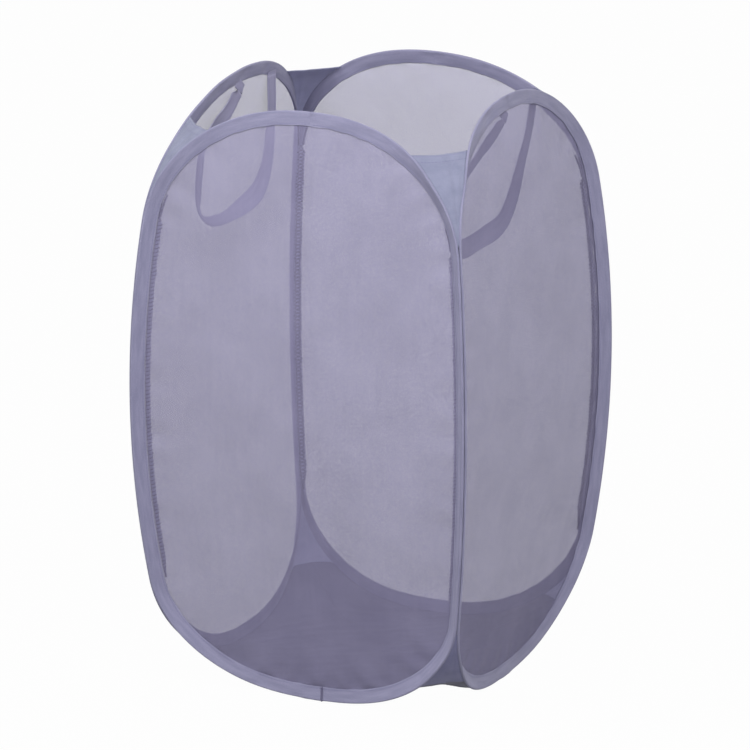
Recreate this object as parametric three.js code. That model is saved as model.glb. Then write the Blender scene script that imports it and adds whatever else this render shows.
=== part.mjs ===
// A pop-up laundry hamper, open at the top. Four oval panels of net, each with a spring steel
// rim inside folded tape, are sewn edge to edge into a square barrel. Cloth gussets fill the
// corners above and below the sewn stretch, a cloth base closes the bottom, and a strap loop
// hangs inside from each of two facing rims.
//
// Millimetres, +Z up. The origin is on the floor at the middle of the footprint. The front
// panel faces -Y and the right panel faces +X.
import * as THREE from "three";

// Overall sizes
const height = 585;
const halfWidth = 166; // from the middle to a corner seam at the widest level
const barrel = 30; // how far the top and bottom lean in from the widest level
const joinLow = 108; // neighbouring panels are sewn together from this level
const joinHigh = 464; // up to this level

// Rim tape, wire and net
const tapeWidth = 13; // from the net's edge to the middle of the wire
const tapeThickness = 0.6;
const wireRadius = 0.7;
const wireRoom = 0.9; // from the wire to the tape folded round it
const netThickness = 0.5;
const netHem = 8; // the edge of the net that is caught inside the tape
const sewnGap = 0.3; // between cloth pieces that touch
const restDepth = 0.6; // the lowest edge of the tape is pressed flat by this much

// Shape of the rims above and below the sewn stretch
const topRiseRoundness = 2.1;
const topSpanRoundness = 2.25;
const bottomDropRoundness = 1.9;
const bottomSpanRoundness = 2.55;
const quarterTurn = Math.PI / 2;
const sewnTurn = quarterTurn / 2; // sewn tapes stand out from the corner, halfway between two panels

// Heights over which that turn dies away, as shares of the stretches above and below the sewn one
const topFadeShare = 1;
const bottomFadeShare = 1.39;

// Ferrule that closes each wire into a loop
const ferruleWall = 0.35;
const ferruleRoom = 0.2;
const ferruleLength = 14;

// Corner seams
const threadThickness = 0.9;
const threadDepth = 3;
const threadInset = 4; // from the net's edge to the row of stitches

// Gussets and base
const clothThickness = 0.5;
const gussetStartWidth = 6;
const topGussetWidth = 54;
const bottomGussetWidth = 44;
const baseMiddleLevel = 5;

// Handles
const strapWidth = 18;
const strapThickness = 1.2;
const strapBack = 61; // the back end, from the rim's middle, where the loop is also widest
const loopFront = -97;
const loopDrop = 120;
const strapTuck = 1; // how far the ends reach up beside the tape
const leftLean = 0;
const rightLean = THREE.MathUtils.degToRad(9);

// The strap's middle line, as shares of the loop's width from its front, and of its drop
const strapShares = [
  [1, 0],
  [0.975, 0.42],
  [0.92, 0.73],
  [0.8, 0.92],
  [0.58, 0.99],
  [0.3, 1],
  [0.11, 0.96],
  [0.01, 0.82],
  [0, 0.52],
  [0.05, 0.33],
  [0.2, 0.21],
  [0.42, 0.12],
  [0.545, 0],
];

// Facets
const rimSteps = 60;
const outlineSteps = 24;
const wireSides = 6;
const gussetSteps = 5;
const seamSteps = 10;
const strapSteps = 24;
const halvings = 24; // of a span in which a place is looked for

const wireTape = wireRadius + wireRoom; // half the room that the folded tape leaves the wire
const foldRadius = wireTape + tapeThickness;
const mouthRoom = netThickness / 2 + sewnGap;
const mouthRadius = mouthRoom + tapeThickness;
const seamOffset = (foldRadius + sewnGap / 2) / Math.SQRT2; // keeps two sewn tapes side by side
const foldCorner = Math.hypot(foldRadius, foldRadius / 2); // the fold's widest reach from the wire
const clearOfFold = foldCorner + sewnGap;

const colours = { net: 0x8f8cb0, tape: 0x9a97bd, cloth: 0x6a6890, strap: 0x7f7ca3, steel: 0xb8bcc2 };

function cloth(color) {
  return new THREE.MeshStandardMaterial({ color, roughness: 0.85, metalness: 0 });
}

function metal() {
  return new THREE.MeshStandardMaterial({ color: colours.steel, roughness: 0.35, metalness: 1 });
}

// Distance from the middle of the hamper to a panel, at a level
function bulge(z) {
  return halfWidth - barrel * ((2 * z) / height - 1) ** 2;
}

// Slope of that distance with the level
function bulgeSlope(z) {
  return ((-4 * barrel) / height) * ((2 * z) / height - 1);
}

// Half of the outline of a panel's net, from the middle of its bottom to the middle of its top,
// as points of distance from the middle and level
function netOutline() {
  const inset = tapeWidth + foldRadius;
  const rise = height - inset - joinHigh;
  const drop = joinLow - inset + restDepth;
  const points = [];
  const add = (share, z) => points.push(new THREE.Vector2((bulge(z) - seamOffset) * share, z));
  for (let i = 0; i < outlineSteps; i++) {
    const turn = quarterTurn * (1 - i / outlineSteps);
    const share = Math.cos(turn) ** (2 / bottomSpanRoundness);
    add(share, joinLow - drop * Math.sin(turn) ** (2 / bottomDropRoundness));
  }
  for (let i = 0; i <= outlineSteps; i++) {
    add(1, joinLow + ((joinHigh - joinLow) * i) / outlineSteps);
  }
  for (let i = 1; i <= outlineSteps; i++) {
    const turn = (quarterTurn * i) / outlineSteps;
    const share = Math.cos(turn) ** (2 / topSpanRoundness);
    add(share, joinHigh + rise * Math.sin(turn) ** (2 / topRiseRoundness));
  }
  return points;
}

// The closed line along the edge of the front panel's net, from the middle of its bottom and
// anticlockwise seen from outside
function netEdge() {
  const right = netOutline().map((p) => new THREE.Vector3(p.x, -bulge(p.y) - seamOffset, p.y));
  const left = right.slice(1, -1).map((p) => new THREE.Vector3(-p.x, p.y, p.z)).reverse();
  return new THREE.CatmullRomCurve3([...right, ...left], true, "centripetal");
}

const edge = netEdge();
edge.arcLengthDivisions = rimSteps * outlineSteps;

// A place on the edge, with the directions that the tape takes there: out across its width,
// and square to its face
function rimFrame(share) {
  const root = edge.getPointAt(share);
  const along = edge.getTangentAt(share);
  const face = new THREE.Vector3(0, -1, -bulgeSlope(root.z)).normalize();
  const away = new THREE.Vector3().crossVectors(along, face).normalize();
  const topFade = topFadeShare * (height - joinHigh);
  const bottomFade = bottomFadeShare * joinLow;
  const above = THREE.MathUtils.smoothstep(root.z, joinHigh, joinHigh + topFade);
  const below = THREE.MathUtils.smoothstep(-root.z, -joinLow, bottomFade - joinLow);
  const turn = sewnTurn * (1 - above) * (1 - below);
  const out = away.clone().multiplyScalar(Math.cos(turn)).addScaledVector(face, Math.sin(turn));
  const square = face.clone().multiplyScalar(Math.cos(turn)).addScaledVector(away, -Math.sin(turn));
  return { root, face, out, square };
}

// A point of the tape's section, by its distances across the tape and square to it
function onRim(frame, across, square) {
  const point = frame.root.clone().addScaledVector(frame.out, across);
  return point.addScaledVector(frame.square, square);
}

// Places round the rim, an even number, with the bottom and top middles halfway between two
const rimFrames = Array.from({ length: rimSteps }, (_, i) => rimFrame((i + 1 / 2) / rimSteps));

// Two triangles that fill a four-sided face, split from a to c, or if turned from b to d
function quad(a, b, c, d, turned) {
  if (turned) return [[a, b, d], [b, c, d]];
  return [[a, b, c], [a, c, d]];
}

// Joins rings of points, each with as many corners, into a closed skin with its faces outward.
// The sides of a ring whose faces are split the other way are given as turned.
function skin(rings, closed, turned = []) {
  const corners = rings[0].length;
  const faces = [];
  const spans = closed ? rings.length : rings.length - 1;
  for (let i = 0; i < spans; i++) {
    const here = i * corners;
    const next = ((i + 1) % rings.length) * corners;
    for (let j = 0; j < corners; j++) {
      const k = (j + 1) % corners;
      faces.push(...quad(here + j, here + k, next + k, next + j, turned[j]));
    }
  }
  if (!closed) {
    const last = (rings.length - 1) * corners;
    for (let j = 1; j < corners - 1; j++) {
      faces.push([0, j + 1, j], [last, last + j, last + j + 1]);
    }
  }
  return solid(rings.flat(), faces);
}

// A geometry of shared points and triangles, turned inside out if its faces point inward
function solid(points, faces) {
  let volume = 0;
  for (const [a, b, c] of faces) {
    volume += points[a].dot(new THREE.Vector3().crossVectors(points[b], points[c]));
  }
  const outward = volume > 0 ? faces : faces.map(([a, b, c]) => [a, c, b]);
  const geometry = new THREE.BufferGeometry().setFromPoints(points);
  geometry.setIndex(outward.flat());
  geometry.computeVertexNormals();
  return geometry;
}

// The net of one panel: a thin sheet that leans with the barrel, with its hem inside the tape.
// All faces of the hem are split from the net outward, as the tape's are, so that they stay parallel.
function netGeometry() {
  const half = netThickness / 2;
  const rings = rimFrames.map((frame) => {
    const inner = [half, -half].map((d) => frame.root.clone().addScaledVector(frame.face, d));
    const hem = [-half, half].map((d) => onRim(frame, netHem, d));
    return [inner[0], inner[1], hem[0], hem[1]];
  });
  const corners = rings[0].length;
  const inward = corners - 1; // the side of a ring that runs back from the hem
  const faces = [];
  for (let i = 0; i < rimSteps; i++) {
    const here = i * corners;
    const next = ((i + 1) % rimSteps) * corners;
    for (let j = 1; j < corners; j++) {
      const k = (j + 1) % corners;
      faces.push(...quad(here + j, next + j, next + k, here + k, j === inward));
    }
  }
  for (let i = 0; i < rimSteps / 2 - 1; i++) {
    const right = i * corners;
    const rightUp = right + corners;
    const left = (rimSteps - 1 - i) * corners;
    const leftUp = left - corners;
    faces.push(...quad(left, right, rightUp, leftUp));
    faces.push(...quad(left + 1, leftUp + 1, rightUp + 1, right + 1));
  }
  return solid(rings.flat(), faces);
}

// The tape folded round the wire, open towards the net and pressed flat where it stands
function tapeGeometry() {
  const section = [
    [sewnGap, mouthRadius],
    [tapeWidth, foldRadius],
    [tapeWidth + foldRadius, foldRadius / 2],
    [tapeWidth + foldRadius, -foldRadius / 2],
    [tapeWidth, -foldRadius],
    [sewnGap, -mouthRadius],
    [sewnGap, -mouthRoom],
    [tapeWidth, -wireTape],
    [tapeWidth + wireTape, -wireTape / 2],
    [tapeWidth + wireTape, wireTape / 2],
    [tapeWidth, wireTape],
    [sewnGap, mouthRoom],
  ];
  const rings = rimFrames.map((frame) =>
    section.map(([across, square]) => {
      const point = onRim(frame, across, square);
      point.z = Math.max(point.z, 0);
      return point;
    }),
  );
  const inward = section.map(([across], j) => section[(j + 1) % section.length][0] < across);
  return skin(rings, true, inward);
}

// A round section in the plane across the rim, about the middle of the wire
function roundSection(frame, radius, sides) {
  return Array.from({ length: sides }, (_, i) => {
    const turn = (2 * Math.PI * i) / sides;
    return onRim(frame, tapeWidth + radius * Math.cos(turn), radius * Math.sin(turn));
  });
}

// The spring steel wire, one closed loop
function wireGeometry() {
  return skin(rimFrames.map((frame) => roundSection(frame, wireRadius, wireSides)), true);
}

// The crimped sleeve over the wire's two ends, in the middle of the bottom
function ferruleGeometry() {
  const inner = wireRadius + ferruleRoom;
  const outer = inner + ferruleWall;
  const profile = [
    [inner, -ferruleLength / 2],
    [outer, -ferruleLength / 2],
    [outer, ferruleLength / 2],
    [inner, ferruleLength / 2],
    [inner, -ferruleLength / 2],
  ].map(([radius, along]) => new THREE.Vector2(radius, along));
  const sleeve = new THREE.LatheGeometry(profile, 2 * wireSides);
  const middle = [rimFrames[0], rimFrames[rimSteps - 1]].map((frame) => onRim(frame, tapeWidth, 0));
  const centre = middle[0].clone().add(middle[1]).divideScalar(2);
  sleeve.rotateZ(quarterTurn);
  sleeve.translate(centre.x, centre.y, centre.z);
  return sleeve;
}

// The last share between two at which a test that holds at the first still holds
function lastShare(from, to, holds) {
  let good = from;
  let bad = to;
  for (let i = 0; i < halvings; i++) {
    const middle = (good + bad) / 2;
    if (holds(middle)) good = middle;
    else bad = middle;
  }
  return good;
}

// The middle of the wire on the front panel's right side, as a share of the way from the
// bottom's middle to the top's, and the same place on the right panel's near side
function cornerPair(share) {
  const front = onRim(rimFrame(share / 2), tapeWidth, 0);
  const right = new THREE.Vector3(-front.y, -front.x, front.z);
  return { front, right };
}

// Where cloth of a width fits between the two rims of a corner, above or below the sewn stretch
function shareAtWidth(width, upward) {
  const narrow = (share) => {
    const { front, right } = cornerPair(share);
    return front.distanceTo(right) < width + 2 * clearOfFold;
  };
  return lastShare(1 / 2, upward ? 1 : 0, narrow);
}

// A line across a corner between the two rims, kept clear of both
function acrossCorner(share) {
  const { front, right } = cornerPair(share);
  const toward = right.clone().sub(front).normalize();
  return [front.addScaledVector(toward, clearOfFold), right.addScaledVector(toward, -clearOfFold)];
}

const cornerOut = new THREE.Vector3(1, -1, 0).normalize();
const cornerAcross = new THREE.Vector3(1, 1, 0).normalize();

// A cloth gusset between the two rims of the front right corner
function gussetGeometry(width, upward) {
  const from = shareAtWidth(gussetStartWidth, upward);
  const to = shareAtWidth(width, upward);
  const half = cornerOut.clone().multiplyScalar(clothThickness / 2);
  const rings = Array.from({ length: gussetSteps + 1 }, (_, i) => {
    const [a, b] = acrossCorner(from + ((to - from) * i) / gussetSteps);
    return [a.clone().add(half), b.clone().add(half), b.clone().sub(half), a.clone().sub(half)];
  });
  return skin(rings, false);
}

// The row of stitches that holds the tapes of the front right corner together
function seamGeometry() {
  const from = lastShare(0, 1, (share) => cornerPair(share).front.z < joinLow);
  const to = lastShare(0, 1, (share) => cornerPair(share).front.z < joinHigh);
  const rings = Array.from({ length: seamSteps + 1 }, (_, i) => {
    const share = from + ((to - from) * i) / seamSteps;
    const near = onRim(rimFrame(share / 2), threadInset, 0);
    const corner = (near.x - near.y) / 2;
    const at = (depth, side) =>
      new THREE.Vector3(corner, -corner, near.z)
        .addScaledVector(cornerOut, depth)
        .addScaledVector(cornerAcross, (side * threadThickness) / 2);
    return [at(0, 1), at(0, -1), at(threadDepth, -1), at(threadDepth, 1)];
  });
  return skin(rings, false);
}

// A quarter of the base's edge: along the front rim, then across the front right corner
function baseEdge() {
  const cornerShare = shareAtWidth(bottomGussetWidth, false);
  const side = Array.from({ length: gussetSteps }, (_, i) => {
    const { front } = cornerPair((cornerShare * (i + 1 / 2)) / gussetSteps);
    const level = Math.max(front.z, clearOfFold);
    return new THREE.Vector3(front.x, front.y + clearOfFold + clothThickness, level);
  });
  const mirrored = side.map((p) => new THREE.Vector3(-p.x, p.y, p.z)).reverse();
  const corner = acrossCorner(cornerShare);
  for (const point of corner) point.z -= sewnGap + clothThickness;
  return [...mirrored, ...side, ...corner];
}

// The cloth base: a shallow dish whose edge follows the four rims and crosses the four corners
function baseGeometry() {
  const up = new THREE.Vector3(0, 0, 1);
  const quarter = baseEdge();
  const turned = (i) => quarter.map((p) => p.clone().applyAxisAngle(up, i * quarterTurn));
  const rim = [0, 1, 2, 3].flatMap(turned);
  const under = [...rim, new THREE.Vector3(0, 0, baseMiddleLevel)];
  const over = under.map((p) => p.clone().addScaledVector(up, clothThickness));
  const middle = rim.length;
  const top = under.length;
  const faces = [];
  for (let i = 0; i < rim.length; i++) {
    const next = (i + 1) % rim.length;
    faces.push([i, middle, next], [top + i, top + next, top + middle]);
    faces.push([i, next, top + next], [i, top + next, top + i]);
  }
  return solid([...under, ...over], faces);
}

// The level of the top edge of the net, at a distance from the panel's middle
function levelOfNet(distance) {
  return netOutline().find((p) => p.y > joinHigh && p.x < distance).y;
}

const hingeLevel = levelOfNet(strapBack) + strapTuck;
const hingeReach = bulge(hingeLevel) + seamOffset - mouthRadius - sewnGap - strapThickness / 2;

// A handle: a flat strap loop hanging from its hinge line, which lies along Y at the origin
function handleGeometry() {
  const reach = strapBack - loopFront;
  const points = strapShares.map(
    ([across, drop]) => new THREE.Vector3(0, loopFront + across * reach, -drop * loopDrop),
  );
  const route = new THREE.CatmullRomCurve3(points, false, "centripetal");
  const face = new THREE.Vector3(strapThickness / 2, 0, 0);
  const rings = Array.from({ length: strapSteps + 1 }, (_, i) => {
    const middle = route.getPointAt(i / strapSteps);
    const along = route.getTangentAt(i / strapSteps);
    const across = new THREE.Vector3(0, -along.z, along.y).multiplyScalar(strapWidth / 2);
    const sides = [middle.clone().add(across), middle.clone().sub(across)];
    for (const side of sides) side.z = Math.min(side.z, 0);
    const [near, far] = sides;
    const outer = [near.clone().add(face), far.clone().add(face)];
    const inner = [far.clone().sub(face), near.clone().sub(face)];
    return [...outer, ...inner];
  });
  return skin(rings, false);
}

function named(name, geometry, material, turn = 0) {
  const mesh = new THREE.Mesh(geometry, material);
  mesh.name = name;
  mesh.rotation.z = turn;
  return mesh;
}

const hamper = new THREE.Group();
const panels = ["front", "right", "back", "left"];
panels.forEach((panel, i) => {
  const turn = i * quarterTurn;
  hamper.add(named(`${panel}_net_panel`, netGeometry(), cloth(colours.net), turn));
  hamper.add(named(`${panel}_rim_tape`, tapeGeometry(), cloth(colours.tape), turn));
  hamper.add(named(`${panel}_spring_wire`, wireGeometry(), metal(), turn));
  hamper.add(named(`${panel}_wire_ferrule`, ferruleGeometry(), metal(), turn));
});

const corners = ["front_right", "back_right", "back_left", "front_left"];
corners.forEach((corner, i) => {
  const turn = i * quarterTurn;
  const upper = gussetGeometry(topGussetWidth, true);
  const lower = gussetGeometry(bottomGussetWidth, false);
  hamper.add(named(`${corner}_top_gusset`, upper, cloth(colours.cloth), turn));
  hamper.add(named(`${corner}_bottom_gusset`, lower, cloth(colours.cloth), turn));
  hamper.add(named(`${corner}_seam`, seamGeometry(), cloth(colours.tape), turn));
});

hamper.add(named("base_cloth", baseGeometry(), cloth(colours.cloth)));

for (const [side, direction, lean] of [["left", -1, leftLean], ["right", 1, rightLean]]) {
  const handle = named(`${side}_handle`, handleGeometry(), cloth(colours.strap));
  handle.position.set(direction * hingeReach, 0, hingeLevel);
  handle.rotation.y = direction * lean;
  hamper.add(handle);
}

export default hamper;
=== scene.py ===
# A pop-up laundry hamper: four oval net panels with taped rims, sewn into a square barrel,
# with cloth gussets, a cloth base and two strap handles. Sizes are in metres.
import math

import bpy
import numpy as np
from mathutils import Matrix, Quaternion, Vector


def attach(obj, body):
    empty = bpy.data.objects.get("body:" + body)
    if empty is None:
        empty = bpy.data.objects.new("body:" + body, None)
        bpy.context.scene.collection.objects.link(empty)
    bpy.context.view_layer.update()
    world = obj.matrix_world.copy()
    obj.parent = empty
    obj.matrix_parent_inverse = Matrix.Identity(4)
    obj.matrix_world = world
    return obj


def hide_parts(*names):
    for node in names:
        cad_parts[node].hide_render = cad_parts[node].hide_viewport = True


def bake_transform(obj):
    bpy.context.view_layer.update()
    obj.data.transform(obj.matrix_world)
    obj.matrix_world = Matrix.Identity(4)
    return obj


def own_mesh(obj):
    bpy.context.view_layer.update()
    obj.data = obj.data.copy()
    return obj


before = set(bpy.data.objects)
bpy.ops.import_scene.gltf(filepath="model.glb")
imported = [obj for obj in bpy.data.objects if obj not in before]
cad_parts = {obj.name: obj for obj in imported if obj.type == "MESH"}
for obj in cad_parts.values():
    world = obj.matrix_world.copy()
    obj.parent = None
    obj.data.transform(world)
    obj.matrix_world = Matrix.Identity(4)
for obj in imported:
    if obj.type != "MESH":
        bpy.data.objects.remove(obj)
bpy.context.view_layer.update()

# Shape of the panels, the same as the frame's
HEIGHT = 0.585
HALF_WIDTH = 0.166
BARREL = 0.030
JOIN_LOW = 0.108
JOIN_HIGH = 0.464
TAPE_WIDTH = 0.013
TAPE_THICKNESS = 0.0004
WIRE_RADIUS = 0.0007
SEWN_GAP = 0.0003
REST_DEPTH = 0.0006
TOP_RISE, TOP_SPAN = 2.1, 2.25
BOTTOM_DROP, BOTTOM_SPAN = 1.9, 2.55
SEWN_TURN = math.pi / 4
TOP_FADE, BOTTOM_FADE = 1.0, 1.39
# At one corner the tapes stay turned out longer: the shares of the rise, and of the drop, where the
# fade starts and ends
LATE_CORNER = "front_right"
LATE_START, LATE_END = 0.42, 0.86
LATE_LOW_START, LATE_LOW_END = 0.30, 1.208
FOLD_RADIUS = 0.0022  # the frame's fold, with its room round the wire
SEAM_OFFSET = (FOLD_RADIUS + SEWN_GAP / 2) / math.sqrt(2)
CLEAR_OF_FOLD = math.hypot(FOLD_RADIUS, FOLD_RADIUS / 2) + SEWN_GAP
# The tape as it is seen: pulled tight on the wire, and in the seams pressed against its neighbour
TIGHT_RADIUS = 0.0013
MOUTH_RADIUS = 0.0008
FERRULE_RADIUS = 0.0019
FERRULE_REACH = 0.012
SEWN_SHIFT = FOLD_RADIUS - TIGHT_RADIUS
CLOTH_THICKNESS = 0.0005
TOP_GUSSET = 0.054
BOTTOM_GUSSET = 0.044
BASE_MIDDLE = 0.005

# Handles
STRAP_WIDTH = 0.018
STRAP_THICKNESS = 0.0012
STRAP_BACK = 0.061
LOOP_FRONT = -0.097
LOOP_DROP = 0.120
HINGE = Vector((0.13993, 0.0, 0.56312))
LEAN = {"left": 0.0, "right": math.radians(9)}
STRAP_SHARES = [
    (1, 0), (0.975, 0.42), (0.92, 0.73), (0.8, 0.92), (0.58, 0.99), (0.3, 1), (0.11, 0.96),
    (0.01, 0.82), (0, 0.52), (0.05, 0.33), (0.2, 0.21), (0.42, 0.12), (0.545, 0),
]

# The two bodies that meet at each corner
CORNERS = {
    "front_right": ("front", "right"),
    "back_right": ("right", "back"),
    "back_left": ("left", "back_left_corner"),
    "front_left": ("front", "left"),
}
# Signs of x and y there
PANELS = ["front", "right", "back", "left"]
# For each panel the corner on its right, seen from outside, and the corner on its left
SIDES = {
    "front": ("front_right", "front_left"),
    "right": ("back_right", "front_right"),
    "back": ("back_left", "back_right"),
    "left": ("front_left", "back_left"),
}


# Small tools

def smoothstep(x):
    x = np.clip(x, 0, 1)
    return x * x * (3 - 2 * x)


def unit(v):
    return v / np.linalg.norm(v, axis=-1, keepdims=True)


def wander(x, low, high, seed):
    """A smooth line of noise with a period of 1 in x, about 1 high, from waves of low to high turns."""
    rng = np.random.default_rng(seed)
    total = np.zeros_like(x)
    for k in range(low, high + 1):
        total += rng.normal() * np.sin(2 * np.pi * (k * x + rng.random()))
    return total / math.sqrt(high - low + 1)


def run_along(line):
    """Length along a line of points, at each of them."""
    return np.concatenate([[0], np.cumsum(np.linalg.norm(np.diff(line, axis=0), axis=1))])


def points_at(at, run, line):
    """Points of a line at lengths along it."""
    return np.stack([np.interp(at, run, line[:, k]) for k in range(line.shape[1])], axis=-1)


def places(rows, columns):
    """Places on the cloth for a grid of points, from lengths for its rows and its columns."""
    return np.stack(np.broadcast_arrays(rows, columns), axis=-1)


def row_at(grid, run, at):
    """The row of a grid of points at a length along it."""
    row = np.interp(at, run, np.arange(len(run)))
    i, f = int(row), row - int(row)
    return grid[i] * (1 - f) + grid[i + 1] * f


def quarter_turn(points, quarters):
    """Points turned about the hamper's axis by so many right angles."""
    c, s = [(1, 0), (0, 1), (-1, 0), (0, -1)][quarters % 4]
    x, y = points[..., 0], points[..., 1]
    return np.stack([c * x - s * y, s * x + c * y, points[..., 2]], axis=-1)


def make_object(name, points, faces, materials, uv=None, face_material=None):
    """A mesh object from points, faces, and perhaps a place on the cloth for each point."""
    mesh = bpy.data.meshes.new(name)
    mesh.from_pydata(points.reshape(-1, 3).tolist(), [], faces)
    for m in materials:
        mesh.materials.append(m)
    mesh.polygons.foreach_set("use_smooth", [True] * len(mesh.polygons))
    if face_material is not None:
        mesh.polygons.foreach_set("material_index", face_material)
    if uv is not None:
        layer = mesh.uv_layers.new(name="cloth")
        loops = np.zeros(len(mesh.loops), np.int32)
        mesh.loops.foreach_get("vertex_index", loops)
        layer.data.foreach_set("uv", uv.reshape(-1, 2)[loops].astype(np.float32).ravel())
    mesh.update()
    obj = bpy.data.objects.new(name, mesh)
    bpy.context.scene.collection.objects.link(obj)
    return obj


def grid_faces(rows, columns, closed=False, first=0, flip=False):
    """Faces over a grid of points. A closed grid joins its last column to its first."""
    faces = []
    for i in range(rows - 1):
        for j in range(columns if closed else columns - 1):
            a = first + i * columns + j
            b = first + i * columns + (j + 1) % columns
            face = (a, b, b + columns, a + columns)
            faces.append(face[::-1] if flip else face)
    return faces


def tube_faces(rings, sides):
    """Faces of a tube from its rings of points, with both ends closed."""
    ends = [tuple(range(sides))[::-1], tuple((rings - 1) * sides + i for i in range(sides))]
    return grid_faces(rings, sides, closed=True) + ends


def keep_above(points, level):
    """Lifts the points that are below a level to it."""
    points[..., 2] = np.maximum(points[..., 2], level)


def joined(parts):
    """Points and faces of several meshes as one, with the number of each face's part."""
    points, faces, kinds = [], [], []
    for kind, (p, f) in enumerate(parts):
        first = sum(len(x) for x in points)
        points.append(p)
        faces += [tuple(first + i for i in face) for face in f]
        kinds += [kind] * len(f)
    return np.concatenate(points), faces, kinds


# Shape of the front panel's rim

def bulge(z):
    return HALF_WIDTH - BARREL * (2 * z / HEIGHT - 1) ** 2


def bulge_slope(z):
    return -4 * BARREL / HEIGHT * (2 * z / HEIGHT - 1)


def outline():
    """Closed fine line along the edge of the front panel's net, from the middle of its bottom."""
    inset = TAPE_WIDTH + FOLD_RADIUS
    rise = HEIGHT - inset - JOIN_HIGH
    drop = JOIN_LOW - inset + REST_DEPTH
    fall = np.linspace(math.pi / 2, 0, 900)
    climb = np.linspace(0, math.pi / 2, 900)
    share = np.concatenate([
        np.cos(fall) ** (2 / BOTTOM_SPAN),
        np.ones(600),
        np.abs(np.cos(climb)) ** (2 / TOP_SPAN),
    ])
    z = np.concatenate([
        JOIN_LOW - drop * np.sin(fall) ** (2 / BOTTOM_DROP),
        np.linspace(JOIN_LOW, JOIN_HIGH, 602)[1:-1],
        JOIN_HIGH + rise * np.sin(climb) ** (2 / TOP_RISE),
    ])
    share[0] = share[-1] = 0
    x = (bulge(z) - SEAM_OFFSET) * share
    right = np.stack([x, -bulge(z) - SEAM_OFFSET, z], axis=-1)
    left = right[:-1][::-1] * [-1, 1, 1]
    return np.concatenate([right, left])


LINE = outline()
ALONG = run_along(LINE)
RIM_LENGTH = ALONG[-1]


def edge_at(shares):
    at = (np.asarray(shares, float) % 1) * RIM_LENGTH
    return points_at(at, ALONG, LINE)


def rim(shares, late=False):
    """Places on the edge of the front panel's net, with the directions that the tape takes there."""
    shares = np.asarray(shares, float)
    step = 0.002
    root = edge_at(shares)
    along = unit(edge_at(shares + step) - edge_at(shares - step))
    z = root[:, 2]
    face = unit(np.stack([0 * z, -1 + 0 * z, -bulge_slope(z)], axis=-1))
    away = unit(np.cross(along, face))
    rise = (z - JOIN_HIGH) / (HEIGHT - JOIN_HIGH)
    drop = (JOIN_LOW - z) / JOIN_LOW
    if late:
        above = smoothstep((rise - LATE_START) / (LATE_END - LATE_START))
        below = smoothstep((drop - LATE_LOW_START) / (LATE_LOW_END - LATE_LOW_START))
    else:
        above, below = smoothstep(rise / TOP_FADE), smoothstep(drop / BOTTOM_FADE)
    turn = (SEWN_TURN * (1 - above) * (1 - below))[:, None]
    return {
        "root": root,
        "along": along,
        "face": face,
        "out": away * np.cos(turn) + face * np.sin(turn),
        "square": face * np.cos(turn) - away * np.sin(turn),
        "sewn": ((1 - above) * (1 - below)),
    }


def sewn_shift(r, across):
    """How far the tape is pressed towards its neighbour, at each place and distance across it."""
    return -SEWN_SHIFT * r["sewn"][:, None] * smoothstep(np.asarray(across, float) / 0.005)


def on_rim(r, across, square):
    """Points of a section at each place of a rim, by distances across the tape and square to it."""
    across, square = np.broadcast_arrays(np.asarray(across, float), np.asarray(square, float))
    if across.ndim == 1:
        across, square = np.broadcast_arrays(across[None, :], square[None, :])
    root, out, normal = (r[key][:, None] for key in ("root", "out", "square"))
    return root + out * across[..., None] + normal * square[..., None]


# Materials

class Tree:
    """A node tree, with short ways to add nodes to it."""

    def __init__(self, tree):
        self.nodes, self.links = tree.nodes, tree.links

    def fill(self, node, inputs):
        """Sets inputs of a node to values, or links them to other nodes' outputs."""
        for key, value in inputs.items():
            if isinstance(value, bpy.types.NodeSocket):
                self.links.new(value, node.inputs[key])
            else:
                node.inputs[key].default_value = value

    def add(self, kind, inputs=None, **settings):
        node = self.nodes.new("ShaderNode" + kind)
        for key, value in settings.items():
            setattr(node, key, value)
        self.fill(node, inputs or {})
        return node

    def math(self, kind, *values):
        return self.add("Math", dict(enumerate(values)), operation=kind).outputs[0]

    def spread(self, value, low, high, to_low, to_high):
        """A value mapped smoothly from one range to another."""
        inputs = {"Value": value, "From Min": low, "From Max": high, "To Min": to_low, "To Max": to_high}
        return self.add("MapRange", inputs, interpolation_type="SMOOTHSTEP").outputs[0]

    def place(self, scale):
        """The place on the cloth, in metres, times a scale for each direction."""
        uv = self.add("UVMap", uv_map="cloth")
        return self.add("Mapping", {"Vector": uv.outputs[0], "Scale": (*scale, 1)}).outputs[0]

    def noise(self, place, scale, detail=3.0):
        inputs = {"Vector": place, "Scale": scale, "Detail": detail, "Roughness": 0.55}
        return self.add("TexNoise", inputs).outputs["Fac"]

    def tint(self, factor, dark, light):
        return self.add("Mix", {0: factor, 6: (*dark, 1), 7: (*light, 1)}, data_type="RGBA").outputs[2]

    def weave(self, across_pitch, along_pitch):
        """Height of a plain weave with threads at these pitches."""
        place = self.place((math.pi / across_pitch, math.pi / along_pitch))
        split = self.add("SeparateXYZ", {0: place}).outputs
        return self.math("MULTIPLY", self.math("SINE", split[0]), self.math("SINE", split[1]))

    def bump(self, shader, height, distance, strength=1.0):
        bump = self.add("Bump", {"Strength": strength, "Distance": distance, "Height": height})
        self.fill(shader, {"Normal": bump.outputs[0]})


def material(name):
    m = bpy.data.materials.new(name)
    m.use_nodes = True
    return m, Tree(m.node_tree), m.node_tree.nodes["Principled BSDF"]


def srgb(*levels):
    """Linear colour from levels of 0 to 255."""
    out = []
    for v in levels:
        v /= 255
        out.append(v / 12.92 if v <= 0.04045 else ((v + 0.055) / 1.055) ** 2.4)
    return tuple(out)


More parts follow.
